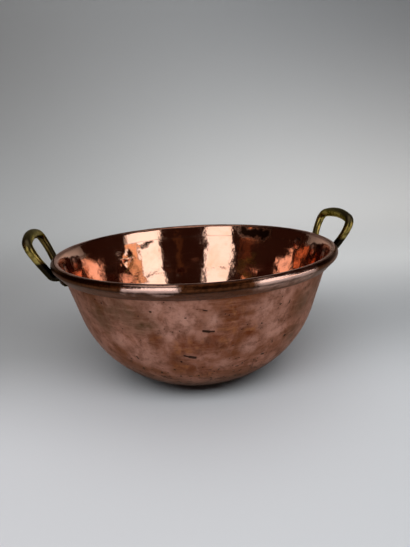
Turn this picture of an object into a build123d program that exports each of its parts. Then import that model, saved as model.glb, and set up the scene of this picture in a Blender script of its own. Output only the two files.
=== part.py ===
from build123d import *
from math import asin, atan, atan2, cos, degrees, hypot, radians, sin, sqrt, tan
import os

# Round-bottomed copper jam pan: a hammered bowl whose rim is rolled over a wire,
# and two brass loop handles, each held under the rim by three copper rivets.
# Lengths are in millimetres and angles in degrees. The pan's axis is Z, its handles
# lie along X, and height zero is the flat that it stands on.
os.makedirs("parts", exist_ok=True)

# Bowl, measured on its outside
rim_outer_radius = 180.0
wire_height = 164.4
sheet_thickness = 1.5
flat_radius = 32.0
wall_angle = 74.6
wall_length = 55.2
belly_share = 3.4

# Rim: the sheet flares from a crease and rolls outwards over the wire. Its tail, the
# hem, slants down from the roll to a fold and turns back to the wall at the crease
wire_radius = 3.6
wire_clearance = 0.1
crease_inset = 8.4
crease_drop = 13.0
hem_thickness = 1.1
hem_step = 0.3
hem_reach = 3.8

# Handle: a cast loop that leans outwards, its bar thickest at the grip
handle_half_width = 40.4
handle_rise = 38.2
handle_tilt = 25.2
grip_radius = 6.3
shoulder_bar_radius = 5.4
leg_radius = 4.9
shoulder_share = 0.23
shoulder_radius = 11.0
shoulder_height = 23.5
leg_bend_radius = 42.4
leg_splay = 25.0
rim_gap = 0.4
elbow_radius = 7.0
foot_flare = 1.2
foot_flare_length = 3.0

# Base plate of the handle, curved to the wall under the rim
plate_height = 13.5
plate_thickness = 4.0
plate_drop = 14.5
seat_clearance = 0.1
notch_clearance = 0.5

# Rivets, with a wide head inside the bowl and a tail hammered over on the plate
shank_radius = 3.0
shank_clearance = 0.1
head_radius = 7.2
head_edge = 0.7
head_crown = 1.0
tail_radius = 5.0
tail_edge = 0.6
tail_crown = 1.8
head_clearance = 0.1
rivet_gap = 5.3
rivet_edge_distance = 9.0

# Sizes that follow
roll_radius = wire_radius + wire_clearance + sheet_thickness
bore_radius = wire_radius + wire_clearance
wire_ring_radius = rim_outer_radius - roll_radius
crease_radius = wire_ring_radius - crease_inset
crease_height = wire_height - crease_drop
wall = radians(wall_angle)
lip = atan2(crease_drop, crease_inset) + asin(bore_radius / hypot(crease_inset, crease_drop))
plate_level = wire_height - plate_drop
plate_face = seat_clearance + plate_thickness


def at(radius, height):
    """A point of the bowl's section, which lies in the XZ plane."""
    return Vector(radius, 0, height)


def along(angle, length):
    """A step in the section, at an angle above the horizontal."""
    return Vector(length * cos(angle), 0, length * sin(angle))


def outwards(angle, length):
    """A step square to a line at that angle, away from the inside of the bowl."""
    return Vector(length * sin(angle), 0, -length * cos(angle))


def wall_radius(height, offset):
    """Radius at a height on the straight wall, moved outwards by the offset."""
    return crease_radius + offset / sin(wall) + (height - crease_height) / tan(wall)


def lip_radius(height, offset):
    """Radius at a height on the flared lip, moved outwards by the offset."""
    return crease_radius + offset / sin(lip) + (height - crease_height) / tan(lip)


def crease_point(offset):
    """Corner between wall and lip, on the surface moved outwards by the offset."""
    turn = 1 / tan(lip) - 1 / tan(wall)
    height = crease_height + offset * (1 / sin(wall) - 1 / sin(lip)) / turn
    return at(wall_radius(height, offset), height)


def belly_arcs():
    """Centre, radius and end angle of the two tangent arcs between flat and wall."""
    start = at(flat_radius, 0)
    end = at(crease_radius, crease_height) - along(wall, wall_length)
    span = end - start
    reach = span.dot(along(0, 1)) + belly_share * span.dot(along(wall, 1))
    bend = 2 * belly_share * (1 - cos(wall))
    near = (sqrt(reach**2 + bend * span.dot(span)) - reach) / bend
    far = belly_share * near
    first_corner = start + along(0, near)
    second_corner = end - along(wall, far)
    middle = first_corner + (second_corner - first_corner) * (near / (near + far))
    turn = 2 * atan2(middle.Z, middle.X - flat_radius)
    base_radius = near / tan(turn / 2)
    side_radius = far / tan((wall - turn) / 2)
    base_centre = at(flat_radius, base_radius)
    side_centre = middle - outwards(turn, side_radius)
    return (base_centre, base_radius, 0, turn), (side_centre, side_radius, turn, wall)


def belly_edges(depth):
    """The two arcs, on the surface that lies inside the outer one by the depth."""
    edges = []
    for centre, radius, first, last in belly_arcs():
        angles = (first, (first + last) / 2, last)
        edges.append(ThreePointArc(*[centre + outwards(a, radius - depth) for a in angles]))
    return edges


def roll_centre():
    return at(wire_ring_radius, wire_height)


def bowl():
    """Sheet from the flat up to the lip, closed round the wire by a full roll."""
    outer_belly = belly_edges(0)
    inner_belly = belly_edges(sheet_thickness)
    overlap = sqrt(roll_radius**2 - bore_radius**2)
    lip_back = roll_centre() - outwards(lip, bore_radius) - along(lip, overlap)
    lip_front = roll_centre() - outwards(lip, roll_radius)
    roll_far_side = roll_centre() + outwards(lip, roll_radius)
    outside = Polyline(outer_belly[1] @ 1, crease_point(0), lip_back)
    roll = ThreePointArc(lip_back, roll_far_side, lip_front)
    inside = Polyline(lip_front, crease_point(-sheet_thickness), inner_belly[1] @ 1)
    flat = Polyline(inner_belly[0] @ 0, at(0, sheet_thickness), at(0, 0), outer_belly[0] @ 0)
    section = make_face([*outer_belly, outside, roll, inside, *inner_belly, flat])
    bore = Plane(roll_centre(), z_dir=(0, 1, 0)) * Circle(bore_radius)
    return revolve(section - bore, Axis.Z)


def strip(start, end):
    """Section of the hem's sheet, on the upper side of a line that runs inwards."""
    step = (end - start).normalized() * hem_thickness
    upper = Vector(step.Z, 0, -step.X)
    return make_face(Polyline(start, end, end + upper, start + upper, close=True))


def hem():
    """Tail of the sheet, from the side of the roll to its fold and back to the wall."""
    fold = crease_point(hem_reach)
    reach = roll_centre() - fold
    root_distance = roll_radius - hem_step
    slant = atan2(reach.Z, reach.X) - asin(root_distance / reach.length)
    root = roll_centre() + outwards(slant, root_distance)
    middle_of_wall = crease_point(-sheet_thickness / 2)
    return revolve(strip(root, fold) + strip(fold, middle_of_wall), Axis.Z)


def inside_of(offset):
    """Everything within the wall and lip, up to their surface moved out by the offset."""
    low = plate_level - plate_height
    outline = Polyline(
        at(0, low),
        at(wall_radius(low, offset), low),
        crease_point(offset),
        at(lip_radius(wire_height, offset), wire_height),
        at(0, wire_height),
        close=True,
    )
    return revolve(make_face(outline), Axis.Z)


def loop_lean():
    """Lean of the handle's leg, seen in the section of the bowl."""
    splay = leg_spread(0) / rim_outer_radius * tan(radians(leg_splay))
    return atan(tan(radians(handle_tilt)) + splay / cos(radians(handle_tilt)))


def leg_spread(rise):
    """Half spread of the straight legs at a rise above the wire, along the loop."""
    splay = radians(leg_splay)
    bend_end = handle_half_width - leg_bend_radius * (1 - cos(splay))
    bend_rise = shoulder_height - leg_bend_radius * sin(splay)
    return bend_end - (bend_rise - rise) * tan(splay)


def loop_plane():
    """Plane of the loop: x runs round the pan, y runs up and outwards."""
    room = (roll_radius + leg_radius + rim_gap) / cos(loop_lean())
    spread = leg_spread(0)
    reach = sqrt((wire_ring_radius + room) ** 2 - spread**2)
    tilt = radians(handle_tilt)
    return Plane((reach, 0, wire_height), x_dir=(0, 1, 0), z_dir=(cos(tilt), 0, -sin(tilt)))


def half_loop_points(side):
    """Points of the centreline from a leg's foot to the start of the top arc."""
    splay = radians(leg_splay)
    inner_width = handle_half_width - shoulder_radius
    half_turn = (radians(90) - top_angle()) / 2
    points = [(leg_spread(0), 0)]
    for angle in (splay, splay / 2, 0):
        drop = leg_bend_radius * sin(angle)
        points.append((handle_half_width - leg_bend_radius * (1 - cos(angle)), shoulder_height - drop))
    for angle in (half_turn, 2 * half_turn):
        rise = shoulder_radius * sin(angle)
        points.append((inner_width + shoulder_radius * cos(angle), shoulder_height + rise))
    return [(side * across, up) for across, up in points]


def top_angle():
    """Half of the angle that the top arc turns through."""
    inner_width = handle_half_width - shoulder_radius
    crown = handle_rise - shoulder_height
    span = inner_width**2 + crown**2 - shoulder_radius**2
    top_radius = span / (2 * (crown - shoulder_radius))
    return atan2(inner_width, top_radius - crown)


def loop_path():
    """Centreline of the loop, from one leg at the wire's height to the other."""
    foot_end, leg_top, bend, bend_end, turn, turn_end = half_loop_points(1)
    right = [Line(foot_end, leg_top), ThreePointArc(leg_top, bend, bend_end)]
    right.append(ThreePointArc(bend_end, turn, turn_end))
    foot_start, leg_start, unbend, unbend_end, unturn, unturn_end = half_loop_points(-1)
    left = [ThreePointArc(unturn_end, unturn, unbend_end), ThreePointArc(unbend_end, unbend, leg_start)]
    left.append(Line(leg_start, foot_start))
    top = ThreePointArc(turn_end, (0, handle_rise), unturn_end)
    return Wire([*right, top, *left])


def loop():
    """Bar of the loop, thickest in the middle of the grip."""
    path = loop_path()
    place_shares = (0, shoulder_share, 1 / 2, 1 - shoulder_share, 1)
    radii = (leg_radius, shoulder_bar_radius, grip_radius, shoulder_bar_radius, leg_radius)
    sections = [
        Plane(path @ place, z_dir=path % place) * Circle(radius)
        for place, radius in zip(place_shares, radii)
    ]
    return loop_plane() * sweep(sections, path=path, multisection=True)


def foot_corner(side):
    """Where the line of a leg meets the level of the base plate."""
    rise = -plate_drop / cos(radians(handle_tilt))
    return loop_plane().from_local_coords(Vector(side * leg_spread(rise), rise, 0))


def foot(side):
    """Elbow under the rim, from a leg into the base plate, with a flared root."""
    leg_end = loop_plane().from_local_coords(Vector(side * leg_spread(0), 0, 0))
    corner = foot_corner(side)
    inwards = Vector(-corner.X, -corner.Y, 0).normalized()
    plan_radius = hypot(corner.X, corner.Y)
    root = corner + inwards * (plan_radius - wall_radius(plate_level, seat_clearance))
    path = FilletPolyline(leg_end, corner, root, radius=elbow_radius)
    bar = sweep(Plane(leg_end, z_dir=path % 0) * Circle(leg_radius), path=path)
    face_distance = plan_radius - wall_radius(plate_level, plate_face)
    face = corner + inwards * face_distance
    flare = Plane(face, z_dir=-inwards) * Cone(
        leg_radius + foot_flare,
        leg_radius,
        foot_flare_length,
        align=(Align.CENTER, Align.CENTER, Align.MIN),
    )
    buried = extrude(Plane(face, z_dir=inwards) * Circle(leg_radius + foot_flare), plate_thickness)
    return bar + flare + buried


def rivet_pitch():
    """Distance along the plate from its middle rivet to an outer one."""
    foot_reach = abs(foot_corner(1).Y) + leg_radius + foot_flare
    return foot_reach + rivet_gap + tail_radius


def plate_prism(margin):
    """The plate's outline, with rounded ends, drawn out along X past the rim."""
    length = 2 * (rivet_pitch() + rivet_edge_distance + margin)
    outline = SlotOverall(length, plate_height + 2 * margin)
    front = Plane((0, 0, plate_level), x_dir=(0, 1, 0), z_dir=(1, 0, 0))
    return extrude(front * outline, rim_outer_radius)


def rivet_seats():
    """Seat of each rivet of the right handle: on the wall, facing outwards."""
    radius = wall_radius(plate_level, 0)
    turn = degrees(asin(rivet_pitch() / radius))
    seat = Plane((radius, 0, plate_level), x_dir=(0, 1, 0), z_dir=outwards(wall, 1))
    angles = {"front": -turn, "middle": 0, "back": turn}
    return {name: Rot(0, 0, angle) * seat.location for name, angle in angles.items()}


def rivet_hole(seat):
    """Bore for a shank, through the wall and the plate."""
    length = 2 * (plate_face + sheet_thickness)
    return seat * Cylinder(shank_radius + shank_clearance, length)


def cap(radius, edge, crown):
    """Low round cap on a short straight edge, standing on z = 0."""
    outline = Polyline((0, crown + edge), (0, 0), (radius, 0), (radius, edge))
    dome_radius = (radius**2 + crown**2) / (2 * crown)
    dome = RadiusArc((radius, edge), (0, crown + edge), -dome_radius)
    return revolve(Plane.XZ * make_face([outline, dome]), Axis.Z)


def rivet(seat):
    """Head against the inside of the wall, shank, and tail against the plate."""
    head_base = sheet_thickness + head_clearance
    tail_base = plate_face + head_clearance
    spare = sheet_thickness
    inner_seat = seat * Rot(180, 0, 0)
    head = inner_seat * Pos(0, 0, head_base - spare) * cap(head_radius, head_edge + spare, head_crown)
    tail = seat * Pos(0, 0, tail_base - spare) * cap(tail_radius, tail_edge + spare, tail_crown)
    head = head & inside_of(-head_base)
    tail = tail - inside_of(tail_base)
    length = head_base + head_edge + tail_base + tail_edge
    shank = seat * Pos(0, 0, -head_base - head_edge) * Cylinder(
        shank_radius, length, align=(Align.CENTER, Align.CENTER, Align.MIN)
    )
    return head + shank + tail


def handle():
    """Loop, feet and base plate of the right handle, in one casting."""
    plate = plate_prism(0) & inside_of(plate_face)
    plate = plate - inside_of(seat_clearance)
    feet = foot(1) + foot(-1)
    feet = feet - inside_of(seat_clearance + plate_thickness / 2)
    casting = loop() + feet + plate
    for seat in rivet_seats().values():
        casting = casting - rivet_hole(seat)
    return casting


def pan_body():
    """Bowl and hem, notched round each base plate and bored for the rivets."""
    tail = hem()
    half_turn = Rot(0, 0, 180)
    notch = plate_prism(notch_clearance)
    tail = tail - notch - half_turn * notch
    body = bowl() + tail
    for seat in rivet_seats().values():
        hole = rivet_hole(seat)
        body = body - hole - half_turn * hole
    return body


def rim_wire():
    return Pos(0, 0, wire_height) * Torus(wire_ring_radius, wire_radius)


def main():
    nodes = {"pan_body": pan_body(), "rim_wire": rim_wire()}
    right_handle = handle()
    right_rivets = {name: rivet(seat) for name, seat in rivet_seats().items()}
    for side, angle in (("right", 0), ("left", 180)):
        nodes["handle_" + side] = Rot(0, 0, angle) * right_handle
        for name, shape in right_rivets.items():
            nodes[f"rivet_{side}_{name}"] = Rot(0, 0, angle) * shape
    for name, shape in nodes.items():
        export_step(shape, f"parts/{name}.step")


main()
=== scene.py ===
from math import asin, atan2, ceil, cos, hypot, pi, radians, sin, sqrt, tan

import bpy
from mathutils import Matrix, Vector


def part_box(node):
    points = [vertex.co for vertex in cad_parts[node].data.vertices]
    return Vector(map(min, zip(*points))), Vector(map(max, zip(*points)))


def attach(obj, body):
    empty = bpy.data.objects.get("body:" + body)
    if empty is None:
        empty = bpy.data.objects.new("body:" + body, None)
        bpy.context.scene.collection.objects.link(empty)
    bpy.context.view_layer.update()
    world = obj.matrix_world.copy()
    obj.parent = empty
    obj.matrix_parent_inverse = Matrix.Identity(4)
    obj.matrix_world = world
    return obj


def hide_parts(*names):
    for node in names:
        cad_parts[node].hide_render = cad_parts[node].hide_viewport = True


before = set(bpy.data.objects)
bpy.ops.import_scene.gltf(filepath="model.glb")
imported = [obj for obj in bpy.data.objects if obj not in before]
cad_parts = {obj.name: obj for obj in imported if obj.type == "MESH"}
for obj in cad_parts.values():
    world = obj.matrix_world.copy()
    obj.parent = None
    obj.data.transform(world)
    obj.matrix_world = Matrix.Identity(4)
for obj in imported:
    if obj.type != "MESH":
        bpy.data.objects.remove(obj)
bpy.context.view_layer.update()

# Copper jam pan. Sizes are in millimetres and angles in degrees, like the real pan's. The studio
# round it is in metres.
MM = 0.001

# Bowl and rim, as the sheet was raised: the section of its outside
sheet_thickness = 1.5
flat_radius = 32.0
wall_angle = 74.6
wall_length = 55.2
belly_share = 3.4
roll_radius = 5.2
bore_radius = 3.7
crease_inset = 8.4
crease_drop = 13.0
crease_softness = 1.2
hem_reach = 3.8
hem_step = 0.3
hem_blend = 3.0
hem_lift = 1.6
hem_edge_round = 0.5
# How far below the hem the dirt and painted shade reach
grime_and_shade_reach = 5.0
rim_outer_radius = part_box("pan_body")[1].x / MM
wire_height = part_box("pan_body")[1].z / MM - roll_radius
plate_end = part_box("handle_right")[1].y / MM

# Beside a handle the lip is one soft curve, which follows the wall for a share of its length. The
# roll goes on round the wire by an angle, and the crease comes back between two angles from the
# X axis.
pressed_share = 0.72
neck_turn = 107.0
crease_fade = (20.0, 42.0)

# Sizes that follow
wire_ring_radius = rim_outer_radius - roll_radius
crease_radius = wire_ring_radius - crease_inset
crease_height = wire_height - crease_drop
wall = radians(wall_angle)
lip = atan2(crease_drop, crease_inset) + asin(bore_radius / hypot(crease_inset, crease_drop))

# Fineness of the bowl's mesh, and how close its points are when they are joined at the seam
segments = 372
row_step = 2.5
fine_step = 1.1
roll_step = 0.7 * fine_step
weld_distance = 0.02

# What each row of the section carries: its place, its place beside a handle, and the shares there
# of hammering, of scoured metal, of rolled rim, of brown film and of dark crust with painted shade
row_parts = {
    "place": "FLOAT_VECTOR",
    "beside": "FLOAT_VECTOR",
    "hammer": "FLOAT",
    "polish": "FLOAT",
    "rim": "FLOAT",
    "film": "FLOAT",
    "crust_and_shade": "FLOAT",
}

# Hammer marks of the planished sheet, and the slow unevenness under them
hammer_width = 15.0
hammer_depth = 0.30
wave_width = 60.0
wave_depth = 1.4

# Scratches and knocks outside: both ends and the width
scars = [
    ((-19.0, -154.8, 114.6), (-13.5, -155.1, 113.4), 2.1),
    ((-13.5, -155.1, 113.4), (-8.5, -155.4, 113.2), 1.5),
    ((-38.0, -141.9, 84.0), (-32.4, -142.2, 82.3), 1.6),
    ((-32.4, -142.2, 82.3), (-27.5, -142.7, 81.2), 2.8),
    ((75.3, -127.3, 87.0), (76.2, -126.8, 86.6), 2.2),
    ((47.7, -132.1, 70.6), (49.7, -131.2, 70.2), 2.1),
    ((-125.5, -74.9, 82.8), (-124.5, -76.0, 81.8), 1.6),
    ((18.3, -133.5, 60.3), (20.3, -133.1, 60.0), 1.2),
    ((-84.8, -92.5, 47.9), (-83.5, -93.5, 47.9), 1.3),
    ((-31.4, -123.5, 50.2), (-29.5, -124.0, 50.2), 1.4),
    ((16.2, -127.4, 51.5), (17.5, -127.2, 51.5), 1.2),
    ((-81.1, -105.2, 57.7), (-77.1, -101.4, 52.2), 1.1),
    ((-57.8, -110.7, 47.3), (-54.5, -108.5, 43.1), 1.0),
    ((-32.6, -112.2, 38.2), (-28.1, -113.5, 38.2), 1.1),
    ((25.7, -125.8, 51.8), (23.7, -124.8, 49.8), 1.3),
    ((75.5, -141.2, 129.0), (76.3, -141.8, 132.4), 1.0),
    ((-69.6, -146.9, 137.5), (-69.0, -147.2, 137.5), 1.3),
    ((-36.8, -156.3, 130.9), (-36.0, -156.5, 130.9), 1.1),
    ((-19.5, -161.7, 139.1), (-15.9, -162.0, 138.0), 1.0),
    ((-66.3, -157.5, 151.0), (-57.0, -160.0, 151.6), 1.0),
]

# Patches outside, by the place of the middle and the reach: rubbed to clean pink metal, with a
# painted sheen where the windows' glow falls on the satin, stained orange-brown by heat, and
# dulled to olive
rubbed_and_sheen = [
    ((-66.0, -150.0, 146.0), 24),
    ((-48.0, -157.0, 146.0), 18),
    ((-112.0, -118.0, 148.0), 12),
    ((50.7, -153.0, 133.5), 20),
    ((-36.8, -156.3, 130.9), 20),
    ((-56.3, -146.1, 116.6), 22),
    ((31.3, -146.4, 90.1), 15),
    ((56.0, -143.0, 106.0), 24),
    ((-76.9, -123.2, 80.2), 26),
    ((-102.5, -111.0, 96.6), 16),
    ((5.2, -137.4, 65.3), 14),
    ((-7.7, -158.4, 124.1), 14),
    ((62.0, -155.0, 148.0), 20),
]
stained = [
    ((11.0, -164.0, 144.0), 14),
    ((14.3, -160.3, 132.7), 15),
    ((9.0, -156.8, 117.0), 18),
    ((-1.0, -152.6, 101.5), 20),
    ((-32.4, -148.5, 99.0), 17),
    ((-22.4, -148.5, 93.8), 15),
    ((-10.3, -150.7, 97.0), 15),
    ((-40.4, -144.9, 94.5), 15),
    ((-14.0, -150.0, 95.0), 17),
    ((-63.7, -139.4, 103.9), 12),
    ((-15.8, -131.4, 56.9), 18),
    ((-42.5, -132.8, 68.5), 16),
    ((30.0, -150.0, 108.0), 14),
]
dulled = [
    ((-98.8, -128.2, 137.3), 23),
    ((-89.5, -132.4, 130.0), 30),
    ((-80.2, -135.7, 122.0), 24),
    ((-107.1, -119.9, 132.1), 22),
    ((-118.0, -104.0, 122.0), 30),
    ((100.0, -124.0, 120.0), 26),
    ((88.0, -116.0, 82.0), 20),
]

# Stretches of the rolled rim that hands have rubbed bright through its dark film, placed where
# the windows shine on the roll, so partly a painted highlight: both ends and the reach
worn_and_highlit_stretches = [
    ((-90.0, -155.5, 166.0), (-70.0, -165.5, 166.0), 9),
    ((-70.0, -165.5, 166.0), (-50.0, -172.5, 166.0), 9),
    ((42.0, -174.6, 166.0), (66.0, -167.0, 166.0), 16),
    ((66.0, -167.0, 166.0), (92.0, -154.3, 166.0), 16),
]

# Knocks felt from inside the bowl: the place, the reach and the depth
knocks = [
    ((-94.8, 125.2, 123.7), 9.0, 1.3),
    ((-86.0, 131.5, 136.0), 12.0, -0.9),
    ((-1.4, 148.1, 92.4), 12.0, 1.0),
    ((-51.7, 151.0, 132.4), 6.0, 0.5),
    ((-62.0, 150.5, 143.0), 9.0, 0.7),
    ((72.0, 144.6, 140.1), 5.0, 0.4),
    ((22.0, 154.0, 122.0), 16.0, -0.6),
]

# Darker marks inside the lip: both ends of a mark, and how far from them it is full and ends.
# The first is a painted shadow by the crease on the far left; the second darkens the lip near the
# right handle
lip_dark_marks = [
    ((-64.0, 150.0, 143.5), (-47.0, 157.0, 148.0), 0.5, 6.5),
    ((105.0, 132.0, 160.0), (130.0, 104.0, 157.0), 5, 13),
]

# How far the edge of a patch strays, and the distance up to which a worn stretch is fully bright
ragged_shift = 14.0
worn_and_highlit_core = 4

# Camera, which looks at the centre of the rim and is then turned about its own axes
camera_distance = 565.0
camera_elevation = 11.96
camera_azimuth = 8.6
camera_yaw = -1.20
camera_pitch = -3.27
camera_roll = 3.01
focal_pixels = 430
picture_height = 547
sensor_width = 36.0
near_clip = 0.01

# Soft boxes that the metal mirrors, well beyond the camera and to its sides: the bearing from +Y,
# the angle across, the angles of the lower and upper edges over the rim, the radiance and the
# tint. None stands lower over the floor than the clearance.
soft_box_distance = 2.2
soft_box_clearance = 0.05
soft_boxes = [
    ("window_right", 138.5, 23, -4, 36, 1.65),
    ("fanlight", 120, 14, 19, 44, 1.55),
    ("warm_screen", 119, 13, 9, 18, 1.1, "#ffc79a"),
    ("low_screen_right", 112, 30, -4, 9, 1.6),
    ("window_left", -144, 31, -4, 46, 1.55),
    ("low_screen_left", -124, 10, -4, 9, 1.4),
    ("far_screen", -104, 21, 21.5, 27, 1.0, "#ffb98c"),
    ("doorway", 171.5, 3.5, -4, 30, 0.05, "#ffb070"),
    ("dim_wall", -111, 12, 13, 23, 0.055, "#ff8f58"),
]

# Fills: the target, the bearing from +Y, the elevation, the distance, the width and height, and
# the radiance
front_bearing = 180 + camera_azimuth
fills = [
    ("front_fill", (0, 0, 0), front_bearing, 48, 2.6, 3.4, 1.0, 5.6),
    ("top_fill", (0, 0, 0), 0, 90, 2.4, 3.0, 3.0, 0.45),
    ("wall_wash", (0.33, 2.17, 0.9), front_bearing, 40, 1.3, 1.0, 0.5, 2.0),
]

# Elevations between which the room's walls give way to its ceiling
ceiling_edge = (56, 70)


def add(tree, kind, sockets=None, **settings):
    """Adds a node with its settings. A socket takes a value or another node's output."""
    made = tree.nodes.new(kind)
    for name, value in settings.items():
        setattr(made, name, value)
    for key, value in (sockets or {}).items():
        if isinstance(value, bpy.types.NodeSocket):
            tree.links.new(value, made.inputs[key])
        else:
            made.inputs[key].default_value = value
    return made


def colour(hex_value):
    """An sRGB hex colour as linear RGBA."""
    channels = [int(hex_value[i : i + 2], 16) / 255 for i in (1, 3, 5)]
    return (*[c / 12.92 if c <= 0.04045 else ((c + 0.055) / 1.055) ** 2.4 for c in channels], 1)


def at(radius, height):
    """A point of the bowl's section."""
    return Vector((radius, 0, height))


def along(angle, length):
    """A step in the section along a line at that angle."""
    return Vector((length * cos(angle), 0, length * sin(angle)))


def outwards(angle, length):
    """A step square to a line at that angle, away from the inside of the bowl."""
    return Vector((length * sin(angle), 0, -length * cos(angle)))


def crease_point(offset):
    """Corner between wall and lip, on the surface moved outwards by the offset."""
    turn = 1 / tan(lip) - 1 / tan(wall)
    height = crease_height + offset * (1 / sin(wall) - 1 / sin(lip)) / turn
    return at(crease_radius + offset / sin(wall) + (height - crease_height) / tan(wall), height)


def belly_arcs():
    """Centre, radius and end angles of the two tangent arcs between flat and wall."""
    start = at(flat_radius, 0)
    end = at(crease_radius, crease_height) - along(wall, wall_length)
    span = end - start
    reach = span.dot(along(0, 1)) + belly_share * span.dot(along(wall, 1))
    bend = 2 * belly_share * (1 - cos(wall))
    near = (sqrt(reach**2 + bend * span.dot(span)) - reach) / bend
    far = belly_share * near
    first_corner = start + along(0, near)
    second_corner = end - along(wall, far)
    middle = first_corner + (second_corner - first_corner) * (near / (near + far))
    turn = 2 * atan2(middle.z, middle.x - flat_radius)
    base_radius = near / tan(turn / 2)
    side_radius = far / tan((wall - turn) / 2)
    base_centre = at(flat_radius, base_radius)
    side_centre = middle - outwards(turn, side_radius)
    return (base_centre, base_radius, 0, turn), (side_centre, side_radius, turn, wall)


def line_points(start, end, step):
    """Evenly spaced points after the start, up to the end."""
    count = max(1, ceil((end - start).length / step))
    return [start.lerp(end, i / count) for i in range(1, count + 1)]


def arc_points(centre, radius, first, last, step):
    """Points round a centre, where the angles are the lean of the surface."""
    count = max(1, ceil(abs(last - first) * radius / step))
    angles = [first + (last - first) * i / count for i in range(1, count + 1)]
    return [centre + outwards(angle, radius) for angle in angles]


def belly_points(depth):
    """The surface from the middle of the bottom up to the start of the straight wall."""
    points = [at(0, depth)] + line_points(at(0, depth), at(flat_radius, depth), row_step)
    for centre, radius, first, last in belly_arcs():
        points += arc_points(centre, radius - depth, first, last, row_step)
    return points


def soft_corner(before, corner, after, count):
    """A rounded corner, as a quadratic curve."""
    points = []
    for i in range(1, count + 1):
        share = i / count
        points.append(before.lerp(corner, share).lerp(corner.lerp(after, share), share))
    return points


def risen(share, start, length):
    """0 up to the start, then rising to 1 over the length."""
    return min(1, max(0, (share - start) / length))


def section_rows():
    """Rows of the bowl's section, from the bottom's inside over the rim to its outside. Each row
    holds the parts that row_parts names, in that order."""
    rows = []

    def extend(points, beside=None, hammer=1.0, polish=0.0, rim=0.0, film=0.0, crusts_and_shade=None):
        crusts_and_shade = crusts_and_shade or [0.0] * len(points)
        for point, other, crust_and_shade in zip(points, beside or points, crusts_and_shade):
            rows.append((point, other, hammer, polish, rim, film, crust_and_shade))

    # The scoured inside up to the roll, with a line of dirt and painted shade in the crease
    roll_centre = at(wire_ring_radius, wire_height)
    crease = crease_point(-sheet_thickness)
    inner = belly_points(sheet_thickness)
    inner += line_points(inner[-1], crease - along(wall, crease_softness), row_step)
    extend(inner, polish=1.0)
    crease_dirt_and_shade = [0.05, 0.3, 0.3, 0.05]
    bend = soft_corner(inner[-1], crease, crease + along(lip, crease_softness), len(crease_dirt_and_shade))
    lip_end = roll_centre - outwards(lip, roll_radius)
    flare = line_points(bend[-1], lip_end, fine_step)
    pressed_start = inner[-1]
    pressed_corner = pressed_start + along(wall, (lip_end - pressed_start).length * pressed_share)
    pressed = soft_corner(pressed_start, pressed_corner, lip_end, len(bend) + len(flare))
    line_of_dirt_and_shade = crease_dirt_and_shade + [0.0] * len(flare)
    extend(bend + flare, pressed, hammer=0.8, polish=1.0, crusts_and_shade=line_of_dirt_and_shade)

    # Over the roll, where the film starts near the top and the crust, with painted shade in the
    # groove, near the hem
    fold = crease_point(hem_reach) + along(lip, hem_lift)
    reach = roll_centre - fold
    root_distance = roll_radius - hem_step
    slant = atan2(reach.z, reach.x) - asin(root_distance / reach.length)
    over = arc_points(roll_centre, roll_radius, lip + pi, slant, roll_step)
    for i, point in enumerate(over):
        share = (i + 1) / len(over)
        rim = risen(share, 0, 0.25)
        film = risen(share, 0.40, 0.10)
        crust_and_shade = risen(share, 0.82, 0.12)
        rows.append((point, point, 0.25, 1 - rim, rim, film, crust_and_shade))

    # Down the hem, round its edge and in to the wall. Beside a handle the roll goes on instead,
    # and a neck joins it to the wall. Dirt and painted shade are thickest under the roll and at the
    # wall.
    root = roll_centre + outwards(slant, root_distance)
    skirt = [root] + line_points(root, fold + (root - fold).normalized() * hem_edge_round, fine_step)
    wall_side = crease_point(0)
    back = (wall_side - fold).normalized()
    skirt += soft_corner(skirt[-1], fold, fold + back * hem_edge_round, 3)
    skirt += line_points(skirt[-1], wall_side, fine_step)
    last_lean = slant - radians(neck_turn)
    around_count = len(skirt) * 2 // 3
    around = [
        roll_centre + outwards(slant + (last_lean - slant) * (i + 1) / around_count, roll_radius)
        for i in range(around_count)
    ]
    neck_count = len(skirt) - around_count
    neck = [around[-1].lerp(wall_side, (i + 1) / neck_count) for i in range(neck_count)]
    grime_and_shade = [max(0.4, 1 - 0.2 * i) for i in range(len(skirt))]
    for i in range(4):
        grime_and_shade[-1 - i] = 0.7 - 0.1 * i
    extend(skirt, around + neck, hammer=0.5, rim=1.0, film=0.8, crusts_and_shade=grime_and_shade)

    # Down the outside, with dirt and painted shade that thin out below the hem
    outer = belly_points(0)
    down = line_points(wall_side, wall_side - along(wall, grime_and_shade_reach), fine_step)
    grime_and_shade = [0.75 * (1 - (i + 1) / len(down)) ** 2 for i in range(len(down))]
    extend(down, hammer=0.7, crusts_and_shade=grime_and_shade)
    extend(line_points(down[-1], outer[-1], row_step) + outer[-2::-1], hammer=0.7)
    return rows


def line_mesh(name, points, attributes):
    """A mesh of points joined in a row, with a named attribute for each list."""
    mesh = bpy.data.meshes.new(name)
    mesh.from_pydata([p * MM for p in points], [(i, i + 1) for i in range(len(points) - 1)], [])
    for key, kind, values in attributes:
        attribute = mesh.attributes.new(key, kind, "POINT")
        field = "vector" if kind == "FLOAT_VECTOR" else "value"
        for item, value in zip(attribute.data, values):
            setattr(item, field, value)
    return mesh


def row_and_angle(tree, given):
    """The row in the section and the angle round Z of each point of the grid, by its index."""
    index = add(tree, "GeometryNodeInputIndex").outputs[0]
    shifted = add(tree, "ShaderNodeMath", {0: index, 1: 0.5}, operation="ADD").outputs[0]
    ratio = add(tree, "ShaderNodeMath", {0: shifted, 1: given["Rows"]}, operation="DIVIDE").outputs[0]
    column = add(tree, "ShaderNodeMath", {0: ratio}, operation="FLOOR").outputs[0]
    skipped = add(tree, "ShaderNodeMath", {0: column, 1: given["Rows"]}, operation="MULTIPLY").outputs[0]
    row = add(tree, "ShaderNodeMath", {0: index, 1: skipped}, operation="SUBTRACT").outputs[0]
    share = add(tree, "ShaderNodeMath", {0: column, 1: given["Segments"]}, operation="DIVIDE").outputs[0]
    angle = add(tree, "ShaderNodeMath", {0: share, 1: 2 * pi}, operation="MULTIPLY").outputs[0]
    return row, angle


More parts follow.
